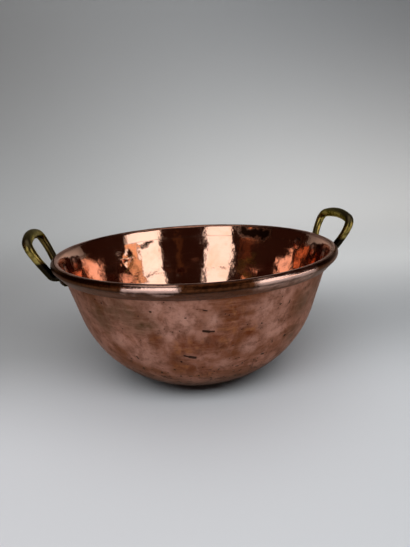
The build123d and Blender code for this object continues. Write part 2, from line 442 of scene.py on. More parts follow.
def clear_of_handles(tree, given, angle, place, rim):
    """0 beside a handle, where the hem gives way to the plate outside and the crease is pressed
    flat inside, and 1 where the section is whole."""
    sine = add(tree, "ShaderNodeMath", {0: angle}, operation="SINE").outputs[0]
    sideways = add(tree, "ShaderNodeMath", {0: sine}, operation="ABSOLUTE").outputs[0]
    radius = add(tree, "ShaderNodeSeparateXYZ", {0: place}).outputs[0]
    across = add(tree, "ShaderNodeMath", {0: sideways, 1: radius}, operation="MULTIPLY").outputs[0]
    plate_half = given["Plate Half Length"]
    blend_end = add(tree, "ShaderNodeMath", {0: plate_half, 1: given["Blend"]}, operation="ADD").outputs[0]
    fade_start, fade_end = [sin(radians(degrees)) for degrees in crease_fade]
    hem, crease = [
        add(
            tree,
            "ShaderNodeMapRange",
            {"Value": value, "From Min": low, "From Max": high},
            interpolation_type="SMOOTHSTEP",
        ).outputs[0]
        for value, low, high in ((across, plate_half, blend_end), (sideways, fade_start, fade_end))
    ]
    inside = add(tree, "ShaderNodeMath", {0: rim, 1: 0.1}, operation="LESS_THAN").outputs[0]
    return add(tree, "ShaderNodeMix", {0: inside, 2: hem, 3: crease}, data_type="FLOAT").outputs[0]


def hammering(tree, given):
    """How the planishing marks and the slower unevenness push the sheet along its normal."""
    here = add(tree, "GeometryNodeInputPosition").outputs[0]
    mark_count, wave_count = [
        add(tree, "ShaderNodeMath", {0: 1.0, 1: given[width]}, operation="DIVIDE").outputs[0]
        for width in ("Hammer Width", "Wave Width")
    ]
    marks = add(
        tree,
        "ShaderNodeTexVoronoi",
        {"Vector": here, "Scale": mark_count, "Smoothness": 0.25},
        feature="SMOOTH_F1",
    ).outputs["Distance"]
    waves = add(
        tree, "ShaderNodeTexNoise", {"Vector": here, "Scale": wave_count, "Detail": 1.0}
    ).outputs[0]
    dents = []
    for texture, power, depth in ((marks, 2.0, "Hammer Depth"), (waves, 1.0, "Wave Depth")):
        lifted = add(tree, "ShaderNodeMath", {0: texture, 1: power}, operation="POWER").outputs[0]
        centred = add(tree, "ShaderNodeMath", {0: lifted, 1: 0.5}, operation="SUBTRACT").outputs[0]
        dent = add(tree, "ShaderNodeMath", {0: centred, 1: given[depth]}, operation="MULTIPLY").outputs[0]
        dents.append(dent)
    both = add(tree, "ShaderNodeMath", {0: dents[0], 1: dents[1]}, operation="ADD").outputs[0]
    share = add(
        tree, "GeometryNodeInputNamedAttribute", {"Name": "hammer"}, data_type="FLOAT"
    ).outputs[0]
    height = add(tree, "ShaderNodeMath", {0: both, 1: share}, operation="MULTIPLY").outputs[0]
    normal = add(tree, "GeometryNodeInputNormal").outputs[0]
    return add(tree, "ShaderNodeVectorMath", {0: normal, "Scale": height}, operation="SCALE").outputs[0]


def turned_sheet_tree():
    """Geometry nodes that turn a section into a hammered bowl round the Z axis."""
    tree = bpy.data.node_groups.new("Turned Sheet", "GeometryNodeTree")
    inputs = {
        "Geometry": "Geometry",
        "Rows": "Int",
        "Segments": "Int",
        "Hammer Width": "Float",
        "Hammer Depth": "Float",
        "Wave Width": "Float",
        "Wave Depth": "Float",
        "Plate Half Length": "Float",
        "Blend": "Float",
        "Material": "Material",
    }
    for name, kind in inputs.items():
        tree.interface.new_socket(name, in_out="INPUT", socket_type="NodeSocket" + kind)
    tree.interface.new_socket("Geometry", in_out="OUTPUT", socket_type="NodeSocketGeometry")
    given = add(tree, "NodeGroupInput").outputs

    # A grid with a column of points for each step of the turn takes its shape from the section
    columns = add(tree, "ShaderNodeMath", {0: given["Segments"], 1: 1.0}, operation="ADD").outputs[0]
    grid = add(tree, "GeometryNodeMeshGrid", {"Vertices X": columns, "Vertices Y": given["Rows"]})
    row, angle = row_and_angle(tree, given)
    taken = {}
    for name, kind in row_parts.items():
        value = add(
            tree, "GeometryNodeInputNamedAttribute", {"Name": name}, data_type=kind
        ).outputs[0]
        sockets = {"Geometry": given["Geometry"], "Value": value, "Index": row}
        sample = add(tree, "GeometryNodeSampleIndex", sockets, data_type=kind, domain="POINT")
        taken[name] = sample.outputs["Value"]
    place = taken["place"]
    clear = clear_of_handles(tree, given, angle, place, taken["rim"])
    blended = add(
        tree, "ShaderNodeMix", {0: clear, 4: taken["beside"], 5: place}, data_type="VECTOR"
    ).outputs[1]
    turned = add(
        tree, "ShaderNodeVectorRotate", {"Vector": blended, "Angle": angle}, rotation_type="Z_AXIS"
    ).outputs[0]
    shape = add(
        tree, "GeometryNodeSetPosition", {"Geometry": grid.outputs["Mesh"], "Position": turned}
    ).outputs[0]
    for name, kind in row_parts.items():
        if kind == "FLOAT":
            sockets = {"Geometry": shape, "Name": name, "Value": taken[name]}
            shape = add(
                tree, "GeometryNodeStoreNamedAttribute", sockets, data_type=kind, domain="POINT"
            ).outputs[0]
    shape = add(
        tree, "GeometryNodeMergeByDistance", {"Geometry": shape, "Distance": weld_distance * MM}
    ).outputs[0]
    push = hammering(tree, given)
    shape = add(tree, "GeometryNodeSetPosition", {"Geometry": shape, "Offset": push}).outputs[0]
    shape = add(tree, "GeometryNodeSetShadeSmooth", {0: shape}).outputs[0]
    shape = add(tree, "GeometryNodeRealizeInstances", {0: shape}).outputs[0]
    shape = add(
        tree, "GeometryNodeSetMaterial", {"Geometry": shape, "Material": given["Material"]}
    ).outputs[0]
    add(tree, "NodeGroupOutput", {0: shape})
    return tree


def grown(name, mesh, tree, values):
    """Runs a node tree on a mesh and returns the result as a plain object."""
    seed = bpy.data.objects.new(name + "_seed", mesh)
    bpy.context.scene.collection.objects.link(seed)
    modifier = seed.modifiers.new(tree.name, "NODES")
    modifier.node_group = tree
    for item in tree.interface.items_tree:
        if item.in_out == "INPUT" and item.name in values:
            modifier[item.identifier] = values[item.name]
    bpy.context.view_layer.update()
    graph = bpy.context.evaluated_depsgraph_get()
    result = bpy.data.meshes.new_from_object(seed.evaluated_get(graph), depsgraph=graph)
    bpy.data.objects.remove(seed)
    result.name = name
    piece = bpy.data.objects.new(name, result)
    bpy.context.scene.collection.objects.link(piece)
    return piece


def knock(mesh):
    """Pushes the sheet outwards round each knock, or inwards where its depth is negative."""
    for place, reach, depth in knocks:
        centre = Vector(place) * MM
        outward = Vector((centre.x, centre.y, 0)).normalized()
        for vertex in mesh.vertices:
            away = (vertex.co - centre).length / (reach * MM)
            if away < 1:
                vertex.co += outward * depth * MM * (1 - away**2) ** 2


def keep_to_size(mesh):
    """Brings back what the hammering has pushed beyond the rim's radius or under the bottom."""
    for vertex in mesh.vertices:
        swell = Vector((vertex.co.x, vertex.co.y)).length / (rim_outer_radius * MM)
        vertex.co.x /= max(1, swell)
        vertex.co.y /= max(1, swell)
        vertex.co.z = max(0, vertex.co.z)


def make_bowl(material):
    """The bowl of sheet copper, with its rim and hem, as one piece in place of pan_body."""
    rows = section_rows()
    attributes = []
    for i, (name, kind) in enumerate(row_parts.items()):
        unit = MM if kind == "FLOAT_VECTOR" else 1
        attributes.append((name, kind, [row[i] * unit for row in rows]))
    mesh = line_mesh("section", [row[0] for row in rows], attributes)
    values = {
        "Rows": len(rows),
        "Segments": segments,
        "Hammer Width": hammer_width * MM,
        "Hammer Depth": hammer_depth * MM,
        "Wave Width": wave_width * MM,
        "Wave Depth": wave_depth * MM,
        "Plate Half Length": plate_end * MM,
        "Blend": hem_blend * MM,
        "Material": material,
    }
    bowl = grown("copper_bowl", mesh, turned_sheet_tree(), values)
    knock(bowl.data)
    keep_to_size(bowl.data)
    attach(bowl, "root")
    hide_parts("pan_body")


def repeats(size):
    """Times per metre that a pattern of that size in millimetres repeats."""
    return 1 / (size * MM)


def new_material(name):
    """A new material, its node tree and its main shader."""
    material = bpy.data.materials.new(name)
    material.use_nodes = True
    tree = material.node_tree
    return material, tree, tree.nodes["Principled BSDF"]


def nearness(tree, where, start, end, inner, outer):
    """1 within the inner distance of a line between two points, 0 beyond the outer one."""
    start = Vector(start) * MM
    line = Vector(end) * MM - start
    offset = add(tree, "ShaderNodeVectorMath", {0: where, 1: start}, operation="SUBTRACT").outputs[0]
    if line.length:
        reach = add(
            tree,
            "ShaderNodeVectorMath",
            {0: offset, 1: line / line.length_squared},
            operation="DOT_PRODUCT",
        ).outputs["Value"]
        share = add(tree, "ShaderNodeClamp", {"Value": reach}).outputs[0]
        foot = add(tree, "ShaderNodeVectorMath", {0: line, "Scale": share}, operation="SCALE")
        offset = add(
            tree, "ShaderNodeVectorMath", {0: offset, 1: foot.outputs[0]}, operation="SUBTRACT"
        ).outputs[0]
    away = add(tree, "ShaderNodeVectorMath", {0: offset}, operation="LENGTH").outputs["Value"]
    return add(
        tree,
        "ShaderNodeMapRange",
        {"Value": away, "From Min": inner * MM, "From Max": outer * MM, "To Min": 1.0, "To Max": 0.0},
        interpolation_type="SMOOTHSTEP",
    ).outputs[0]


def copper_patterns(tree, where):
    """Random patterns of the copper, with the size in millimetres of their largest spots."""
    flattened = add(tree, "ShaderNodeMapping", {"Vector": where, "Scale": (1.0, 1.0, 7.0)}).outputs[0]
    patterns = {}
    for name, place, size, detail, roughness, distortion in (
        ("clouds", where, 50, 4.0, 0.6, 0.6),
        ("mottles", where, 12, 6.0, 0.68, 0.0),
        ("grain", where, 4, 4.0, 0.7, 0.0),
        ("streaks", flattened, 36, 5.0, 0.7, 0.0),
        ("blotches", where, 21, 5.0, 0.62, 1.2),
    ):
        patterns[name] = add(
            tree,
            "ShaderNodeTexNoise",
            {
                "Vector": place,
                "Scale": repeats(size),
                "Detail": detail,
                "Roughness": roughness,
                "Distortion": distortion,
            },
        ).outputs[0]
    return patterns


def ragged_places(tree, where):
    """The place shifted at random, which makes the edges of patches ragged."""
    shift = ragged_shift * MM
    wobble = add(
        tree,
        "ShaderNodeTexNoise",
        {"Vector": where, "Scale": repeats(24), "Detail": 5.0, "Roughness": 0.65},
    ).outputs["Color"]
    shifted = add(
        tree,
        "ShaderNodeVectorMath",
        {0: wobble, 1: (2 * shift,) * 3, 2: where},
        operation="MULTIPLY_ADD",
    ).outputs[0]
    return add(
        tree, "ShaderNodeVectorMath", {0: shifted, 1: (shift,) * 3}, operation="SUBTRACT"
    ).outputs[0]


def patch_mask(tree, ragged, patches):
    """1 at the middle of each patch, falling to 0 a little beyond its reach."""
    mask = 0.0
    for place, reach in patches:
        near = nearness(tree, ragged, place, place, reach * 0.1, reach * 1.15)
        mask = add(tree, "ShaderNodeMath", {0: near, 1: mask}, operation="MAXIMUM").outputs[0]
    return mask


def outside_colour(tree, patterns, ragged):
    """Pink copper clouded and blotched brown, with its rubbed patches, partly a painted sheen, and
    its stained and dulled patches.
    """
    clouded = add(
        tree,
        "ShaderNodeMapRange",
        {"Value": patterns["clouds"], "From Min": 0.42, "From Max": 0.60, "To Max": 0.9},
        interpolation_type="SMOOTHSTEP",
    ).outputs[0]
    tint = add(
        tree, "ShaderNodeMix", {0: clouded, 6: colour("#b07c69"), 7: colour("#7a4830")}, data_type="RGBA"
    ).outputs[2]
    blotched = add(
        tree,
        "ShaderNodeMapRange",
        {"Value": patterns["blotches"], "From Min": 0.48, "From Max": 0.62, "To Max": 0.6},
    ).outputs[0]
    tint = add(
        tree, "ShaderNodeMix", {0: blotched, 6: tint, 7: colour("#7d4527")}, data_type="RGBA"
    ).outputs[2]

    # The patches are broken up by the mottles
    stain = patch_mask(tree, ragged, stained)
    for mask, strength, shade in (
        (patch_mask(tree, ragged, rubbed_and_sheen), 0.75, "#cc9a88"),
        (stain, 1.0, "#692e0d"),
        (patch_mask(tree, ragged, dulled), 1.0, "#4b3821"),
    ):
        broken = add(
            tree,
            "ShaderNodeMapRange",
            {
                "Value": patterns["mottles"],
                "From Min": 0.25,
                "From Max": 0.6,
                "To Min": strength,
                "To Max": strength * 0.55,
            },
        ).outputs[0]
        weight = add(tree, "ShaderNodeMath", {0: mask, 1: broken}, operation="MULTIPLY").outputs[0]
        tint = add(
            tree, "ShaderNodeMix", {0: weight, 6: tint, 7: colour(shade)}, data_type="RGBA"
        ).outputs[2]

    # Ochre shows in the stains, where there is no blotch
    ochre = add(
        tree,
        "ShaderNodeMapRange",
        {"Value": patterns["blotches"], "From Min": 0.5, "From Max": 0.36, "To Max": 0.55},
    ).outputs[0]
    ochre = add(tree, "ShaderNodeMath", {0: ochre, 1: stain}, operation="MULTIPLY").outputs[0]
    tint = add(
        tree, "ShaderNodeMix", {0: ochre, 6: tint, 7: colour("#b8784c")}, data_type="RGBA"
    ).outputs[2]

    # Dark speckles, finer freckles, and the paler smears of a cloth
    for name, low, high, most, shade in (
        ("mottles", 0.48, 0.72, 0.65, "#56301f"),
        ("grain", 0.52, 0.68, 0.32, "#4a2a1d"),
        ("streaks", 0.50, 0.72, 0.30, "#cd937c"),
    ):
        share = add(
            tree,
            "ShaderNodeMapRange",
            {"Value": patterns[name], "From Min": low, "From Max": high, "To Max": most},
        ).outputs[0]
        tint = add(
            tree, "ShaderNodeMix", {0: share, 6: tint, 7: colour(shade)}, data_type="RGBA"
        ).outputs[2]
    return tint


def inside_colour(tree, patterns):
    """Scoured copper, with clouds of fresh oxide."""
    oxide = add(
        tree,
        "ShaderNodeMapRange",
        {"Value": patterns["clouds"], "From Min": 0.45, "From Max": 0.7, "To Max": 0.6},
    ).outputs[0]
    return add(
        tree, "ShaderNodeMix", {0: oxide, 6: colour("#e8b8a2"), 7: colour("#d19a76")}, data_type="RGBA"
    ).outputs[2]


def roll_colour(tree, patterns):
    """The top of the roll, burnished in level streaks of greyish pink and brown."""
    streaked = add(
        tree,
        "ShaderNodeMapRange",
        {"Value": patterns["streaks"], "From Min": 0.38, "From Max": 0.62},
    ).outputs[0]
    return add(
        tree, "ShaderNodeMix", {0: streaked, 6: colour("#cda294"), 7: colour("#7c5041")}, data_type="RGBA"
    ).outputs[2]


def film_colour(tree, patterns, worn_and_highlit):
    """The brown film under the roll and on the hem, spotted dark, and in places rubbed bright where
    the windows shine on the roll, partly a painted highlight.
    """
    skin = add(
        tree,
        "ShaderNodeMix",
        {0: patterns["mottles"], 6: colour("#6b3f25"), 7: colour("#472614")},
        data_type="RGBA",
    ).outputs[2]
    spotted = add(
        tree,
        "ShaderNodeMapRange",
        {"Value": patterns["grain"], "From Min": 0.46, "From Max": 0.6, "To Max": 0.7},
    ).outputs[0]
    skin = add(
        tree, "ShaderNodeMix", {0: spotted, 6: skin, 7: colour("#2c170b")}, data_type="RGBA"
    ).outputs[2]
    return add(
        tree, "ShaderNodeMix", {0: worn_and_highlit, 6: skin, 7: colour("#dab3a5")}, data_type="RGBA"
    ).outputs[2]


def dirt_and_shade_mask(tree, where, ragged, level, patterns, crust_and_shade, dull, polish):
    """Crust with painted shade in the creases and under the roll, darker towards the bottom of the
    outside, darker marks inside the lip, the first a painted shadow, and a ring of dirt and painted
    shade round each rivet."""
    patchy = add(
        tree,
        "ShaderNodeMapRange",
        {"Value": patterns["mottles"], "From Min": 0.38, "From Max": 0.6, "To Min": 1.0, "To Max": 0.5},
    ).outputs[0]
    dirt_and_shade = add(tree, "ShaderNodeMath", {0: crust_and_shade, 1: patchy}, operation="MULTIPLY").outputs[0]
    # Darker towards the bottom of the outside
    darker_low_full, darker_low_end = 14.0, 58.0
    darker_low = add(
        tree,
        "ShaderNodeMapRange",
        {
            "Value": level,
            "From Min": darker_low_full * MM,
            "From Max": darker_low_end * MM,
            "To Min": 0.95,
            "To Max": 0.0,
        },
        interpolation_type="SMOOTHSTEP",
    ).outputs[0]
    darker_low = add(tree, "ShaderNodeMath", {0: darker_low, 1: dull}, operation="MULTIPLY").outputs[0]
    dirt_and_shade = add(tree, "ShaderNodeMath", {0: dirt_and_shade, 1: darker_low}, operation="MAXIMUM").outputs[0]

    # Darker marks inside the lip, the first a painted shadow
    lip_darkening = 0.0
    for start, end, inner, outer in lip_dark_marks:
        near = nearness(tree, ragged, start, end, inner, outer)
        lip_darkening = add(tree, "ShaderNodeMath", {0: near, 1: lip_darkening}, operation="MAXIMUM").outputs[0]
    lip_darkening = add(tree, "ShaderNodeMath", {0: lip_darkening, 1: polish}, operation="MULTIPLY").outputs[0]
    dirt_and_shade = add(tree, "ShaderNodeMath", {0: dirt_and_shade, 1: lip_darkening}, operation="MAXIMUM").outputs[0]

    # A dark ring round each rivet: dirt and painted shade round its head
    ring_inner, ring_outer = 8.6, 11.0
    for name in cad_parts:
        if name.startswith("rivet"):
            low_corner, high_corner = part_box(name)
            middle = (Vector(low_corner) + Vector(high_corner)) / 2 / MM
            rivet_dirt_and_shade = nearness(tree, where, middle, middle, ring_inner, ring_outer)
            rivet_dirt_and_shade = add(tree, "ShaderNodeMath", {0: rivet_dirt_and_shade, 1: 0.85}, operation="MULTIPLY").outputs[0]
            dirt_and_shade = add(tree, "ShaderNodeMath", {0: dirt_and_shade, 1: rivet_dirt_and_shade}, operation="MAXIMUM").outputs[0]
    return dirt_and_shade


def hurt_mask(tree, where, level, patterns, dull):
    """The scratches and knocks outside, and pits that are larger near the bottom."""
    hurt = 0.0
    for start, end, width in scars:
        mask = nearness(tree, where, start, end, width * 0.5, width)
        hurt = add(tree, "ShaderNodeMath", {0: mask, 1: hurt}, operation="MAXIMUM").outputs[0]
    pit_cells = add(
        tree, "ShaderNodeTexVoronoi", {"Vector": where, "Scale": repeats(5)}
    ).outputs["Distance"]
    pocked_full, pocked_end = 45.0, 85.0
    low = add(
        tree,
        "ShaderNodeMapRange",
        {
            "Value": level,
            "From Min": pocked_full * MM,
            "From Max": pocked_end * MM,
            "To Min": 0.15,
            "To Max": 0.0,
        },
    ).outputs[0]
    pocked = add(tree, "ShaderNodeMath", {0: patterns["mottles"], 1: low}, operation="ADD").outputs[0]
    pit_size = add(
        tree,
        "ShaderNodeMapRange",
        {"Value": pocked, "From Min": 0.52, "From Max": 0.70, "To Min": 0.0, "To Max": 0.33},
    ).outputs[0]
    pits = add(tree, "ShaderNodeMath", {0: pit_cells, 1: pit_size}, operation="LESS_THAN").outputs[0]
    pits = add(tree, "ShaderNodeMath", {0: pits, 1: dull}, operation="MULTIPLY").outputs[0]
    return add(tree, "ShaderNodeMath", {0: hurt, 1: pits}, operation="MAXIMUM").outputs[0]


def copper_roughness(tree, patterns, polish, rim, film, worn_and_highlit, dirt_and_shade):
    """Satin outside, a sharp mirror inside, and a soft one on the roll where no film is left."""
    satin, mirror, handled = [
        add(
            tree,
            "ShaderNodeMapRange",
            {"Value": patterns[name], "From Min": low, "From Max": 0.7, "To Min": least, "To Max": most},
        ).outputs[0]
        for name, low, least, most in (
            ("mottles", 0.3, 0.30, 0.48),
            ("streaks", 0.35, 0.05, 0.12),
            ("mottles", 0.35, 0.12, 0.28),
        )
    ]
    unworn = add(tree, "ShaderNodeMath", {0: 1.0, 1: worn_and_highlit}, operation="SUBTRACT").outputs[0]
    filmed = add(tree, "ShaderNodeMath", {0: film, 1: unworn}, operation="MULTIPLY").outputs[0]
    rough = add(tree, "ShaderNodeMix", {0: polish, 2: satin, 3: mirror}, data_type="FLOAT").outputs[0]
    handled = add(tree, "ShaderNodeMix", {0: filmed, 2: handled, 3: 0.3}, data_type="FLOAT").outputs[0]
    rough = add(tree, "ShaderNodeMix", {0: rim, 2: rough, 3: handled}, data_type="FLOAT").outputs[0]
    return add(tree, "ShaderNodeMix", {0: dirt_and_shade, 2: rough, 3: 0.4}, data_type="FLOAT").outputs[0]


def copper_relief(tree, where, patterns, rim, hurt):
    """Ripples left by the planishing hammer, the grain and the pits, as depths in millimetres."""
    ripples = add(
        tree, "ShaderNodeTexNoise", {"Vector": where, "Scale": repeats(8), "Detail": 1.5}
    ).outputs[0]
    grain = patterns["grain"]
    pecked = add(tree, "ShaderNodeMath", {0: grain, 1: rim}, operation="MULTIPLY").outputs[0]
    height = 0.0
    for source, depth in (
        (ripples, 0.15),
        (patterns["streaks"], 0.04),
        (patterns["mottles"], 0.05),
        (grain, 0.03),
        (pecked, 0.10),
        (hurt, -0.3),
    ):
        height = add(
            tree, "ShaderNodeMath", {0: source, 1: depth, 2: height}, operation="MULTIPLY_ADD"
        ).outputs[0]
    return add(tree, "ShaderNodeBump", {"Height": height, "Distance": MM, "Strength": 1.0}).outputs[0]


def copper_sheet():
    """Hand-raised copper. Scouring keeps the inside bright and pink-orange, with a sharp
    reflection. Outside it has a dull satin skin, clouded pink and brown, with pits and scratches.
    The rolled rim is burnished brown by hands, and lighter where the windows shine, a painted
    highlight. A dark crust stays where no cloth reaches, with painted shade in its creases and grooves."""
    material, tree, shader = new_material("hammered_copper")
    where = add(tree, "ShaderNodeTexCoord").outputs["Object"]
    polish, rim, film, crust_and_shade = [
        add(tree, "ShaderNodeAttribute", attribute_name=name).outputs["Fac"]
        for name in ("polish", "rim", "film", "crust_and_shade")
    ]
    patterns = copper_patterns(tree, where)
    ragged = ragged_places(tree, where)
    level = add(tree, "ShaderNodeSeparateXYZ", {0: ragged}).outputs[2]
    shiny = add(tree, "ShaderNodeMath", {0: polish, 1: rim}, operation="ADD").outputs[0]
    dull = add(tree, "ShaderNodeMath", {0: 1.0, 1: shiny}, operation="SUBTRACT").outputs[0]
    # Stretches of the roll rubbed bright, lightened where the windows shine on it: partly a painted
    # highlight
    worn_and_highlit = 0.0
    for start, end, reach in worn_and_highlit_stretches:
        near = nearness(tree, ragged, start, end, worn_and_highlit_core, reach)
        worn_and_highlit = add(tree, "ShaderNodeMath", {0: near, 1: worn_and_highlit}, operation="MAXIMUM").outputs[0]
    dirt_and_shade = dirt_and_shade_mask(tree, where, ragged, level, patterns, crust_and_shade, dull, polish)
    hurt = hurt_mask(tree, where, level, patterns, dull)
    soil = add(tree, "ShaderNodeMath", {0: hurt, 1: 0.9}, operation="MULTIPLY").outputs[0]

    tint = outside_colour(tree, patterns, ragged)
    for share, shade in (
        (polish, inside_colour(tree, patterns)),
        (rim, roll_colour(tree, patterns)),
        (film, film_colour(tree, patterns, worn_and_highlit)),
        (dirt_and_shade, colour("#2b190f")),
        (soil, colour("#1d110c")),
    ):
        tint = add(tree, "ShaderNodeMix", {0: share, 6: tint, 7: shade}, data_type="RGBA").outputs[2]
    rough = copper_roughness(tree, patterns, polish, rim, film, worn_and_highlit, dirt_and_shade)
    relief = copper_relief(tree, where, patterns, rim, hurt)
    tree.links.new(tint, shader.inputs["Base Color"])
    tree.links.new(rough, shader.inputs["Roughness"])
    tree.links.new(relief, shader.inputs["Normal"])
    shader.inputs["Metallic"].default_value = 1.0
    shader.inputs["Specular Tint"].default_value = colour("#f0dace")
    return material


def brass_soot(tree, split, patches):
    """Smoke on the feet and the plate, up to a ragged edge that is higher on the front legs."""
    soot_full, soot_end, front_climb, raggedness = 149.0, 154.0, 17.0, 6.0
    front, rear = -10.0, 10.0
    ragged = add(tree, "ShaderNodeMath", {0: patches, 1: raggedness * MM}, operation="MULTIPLY").outputs[0]
    level = add(
        tree, "ShaderNodeMath", {0: split.outputs[2], 1: ragged}, operation="SUBTRACT"
    ).outputs[0]
    climb = add(
        tree,
        "ShaderNodeMapRange",
        {
            "Value": split.outputs[1],
            "From Min": front * MM,
            "From Max": rear * MM,
            "To Min": front_climb * MM,
            "To Max": 0.0,
        },
    ).outputs[0]
    level = add(tree, "ShaderNodeMath", {0: level, 1: climb}, operation="SUBTRACT").outputs[0]
    return add(
        tree,
        "ShaderNodeMapRange",
        {
            "Value": level,
            "From Min": soot_full * MM,
            "From Max": soot_end * MM,
            "To Min": 1.0,
            "To Max": 0.0,
        },
        interpolation_type="SMOOTHSTEP",
    ).outputs[0]


def aged_brass():
    """Cast brass. Handling keeps the grip a worn gold, between an olive-brown skin in the hollows,
    and the lower legs and the plate are nearly black with smoke and polish residue."""
    material, tree, shader = new_material("aged_brass")
    where = add(tree, "ShaderNodeTexCoord").outputs["Object"]
    patches = add(
        tree,
        "ShaderNodeTexNoise",
        {"Vector": where, "Scale": repeats(14), "Detail": 4.0, "Roughness": 0.6, "Distortion": 0.3},
    ).outputs[0]
    worn = add(
        tree,
        "ShaderNodeMapRange",
        {"Value": patches, "From Min": 0.38, "From Max": 0.64},
        interpolation_type="SMOOTHSTEP",
    ).outputs[0]
    tint = add(
        tree, "ShaderNodeMix", {0: worn, 6: colour("#51461f"), 7: colour("#a59150")}, data_type="RGBA"
    ).outputs[2]

    # The rear half of the left handle is browner
    split = add(tree, "ShaderNodeSeparateXYZ", {0: where})
    left = add(tree, "ShaderNodeMath", {0: split.outputs[0], 1: 0.0}, operation="LESS_THAN").outputs[0]
    rear = add(
        tree,
        "ShaderNodeMapRange",
        {"Value": split.outputs[1], "From Min": 5 * MM, "From Max": 28 * MM, "To Max": 0.85},
    ).outputs[0]
    browned = add(tree, "ShaderNodeMath", {0: left, 1: rear}, operation="MULTIPLY").outputs[0]
    tint = add(
        tree, "ShaderNodeMix", {0: browned, 6: tint, 7: colour("#3b2d15")}, data_type="RGBA"
    ).outputs[2]

    # Grey dust lies on what faces up, and its grey is also a painted dull sheen on the tops
    facing = add(tree, "ShaderNodeTexCoord").outputs["Normal"]
    upwards = add(tree, "ShaderNodeSeparateXYZ", {0: facing}).outputs[2]
    dust_and_sheen = add(
        tree,
        "ShaderNodeMapRange",
        {"Value": upwards, "From Min": 0.25, "From Max": 0.75},
        interpolation_type="SMOOTHSTEP",
    ).outputs[0]
    tint = add(
        tree, "ShaderNodeMix", {0: dust_and_sheen, 6: tint, 7: colour("#665e46")}, data_type="RGBA"
    ).outputs[2]
    soot = brass_soot(tree, split, patches)
    tint = add(
        tree, "ShaderNodeMix", {0: soot, 6: tint, 7: colour("#1c1710")}, data_type="RGBA"
    ).outputs[2]
    tree.links.new(tint, shader.inputs["Base Color"])

    rough = add(
        tree,
        "ShaderNodeMapRange",
        {"Value": patches, "From Min": 0.3, "From Max": 0.7, "To Min": 0.34, "To Max": 0.2},
    ).outputs[0]
    rough = add(tree, "ShaderNodeMix", {0: dust_and_sheen, 2: rough, 3: 0.38}, data_type="FLOAT").outputs[0]
    tree.links.new(rough, shader.inputs["Roughness"])
    shader.inputs["Metallic"].default_value = 1.0
    shader.inputs["Specular Tint"].default_value = colour("#d9cfae")
    pores = add(
        tree, "ShaderNodeTexNoise", {"Vector": where, "Scale": repeats(2.4), "Detail": 3.0}
    ).outputs[0]
    swell = add(tree, "ShaderNodeMath", {0: patches, 1: 0.08}, operation="MULTIPLY").outputs[0]
    fine = add(tree, "ShaderNodeMath", {0: pores, 1: 0.03}, operation="MULTIPLY").outputs[0]
    both = add(tree, "ShaderNodeMath", {0: swell, 1: fine}, operation="ADD").outputs[0]
    bump = add(tree, "ShaderNodeBump", {"Height": both, "Distance": MM, "Strength": 0.6}).outputs[0]
    tree.links.new(bump, shader.inputs["Normal"])
    return material


def rivet_copper():
    """Copper rivets, hammered over cold. The heads inside the bowl are bright, with brown spots,
    and the tails outside are dark with smoke."""
    material, tree, shader = new_material("rivet_copper")
    where = add(tree, "ShaderNodeTexCoord").outputs["Object"]
    spots = add(
        tree, "ShaderNodeTexNoise", {"Vector": where, "Scale": repeats(5), "Detail": 3.0}
    ).outputs[0]
    tint = add(
        tree, "ShaderNodeMix", {0: spots, 6: colour("#e0a084"), 7: colour("#a8694c")}, data_type="RGBA"
    ).outputs[2]
    level = add(tree, "ShaderNodeMapping", {"Vector": where, "Scale": (1.0, 1.0, 0.0)}).outputs[0]
    away = add(tree, "ShaderNodeVectorMath", {0: level}, operation="LENGTH").outputs["Value"]
    heads_end, tails_start = 165.0, 167.0
    tail = add(
        tree,
        "ShaderNodeMapRange",
        {"Value": away, "From Min": heads_end * MM, "From Max": tails_start * MM},
    ).outputs[0]
    tint = add(
        tree, "ShaderNodeMix", {0: tail, 6: tint, 7: colour("#3b2a1d")}, data_type="RGBA"
    ).outputs[2]
    tree.links.new(tint, shader.inputs["Base Color"])
    shader.inputs["Metallic"].default_value = 1.0
    rough = add(
        tree, "ShaderNodeMapRange", {"Value": spots, "To Min": 0.15, "To Max": 0.4}
    ).outputs[0]
    tree.links.new(rough, shader.inputs["Roughness"])
    bump = add(
        tree, "ShaderNodeBump", {"Height": spots, "Distance": 0.3 * MM, "Strength": 1.0}
    ).outputs[0]
    tree.links.new(bump, shader.inputs["Normal"])
    return material


def iron_wire():
    """Drawn iron wire, grey-brown with a dry skin of rust."""
    material, tree, shader = new_material("iron_wire")
    where = add(tree, "ShaderNodeTexCoord").outputs["Object"]
    rust = add(
        tree, "ShaderNodeTexNoise", {"Vector": where, "Scale": repeats(6), "Detail": 5.0}
    ).outputs[0]
    tint = add(
        tree, "ShaderNodeMix", {0: rust, 6: colour("#5c5854"), 7: colour("#5f3a26")}, data_type="RGBA"
    ).outputs[2]
    tree.links.new(tint, shader.inputs["Base Color"])
    shader.inputs["Metallic"].default_value = 0.8
    shader.inputs["Roughness"].default_value = 0.6
    bump = add(tree, "ShaderNodeBump", {"Height": rust, "Distance": 0.2 * MM}).outputs[0]
    tree.links.new(bump, shader.inputs["Normal"])
    return material


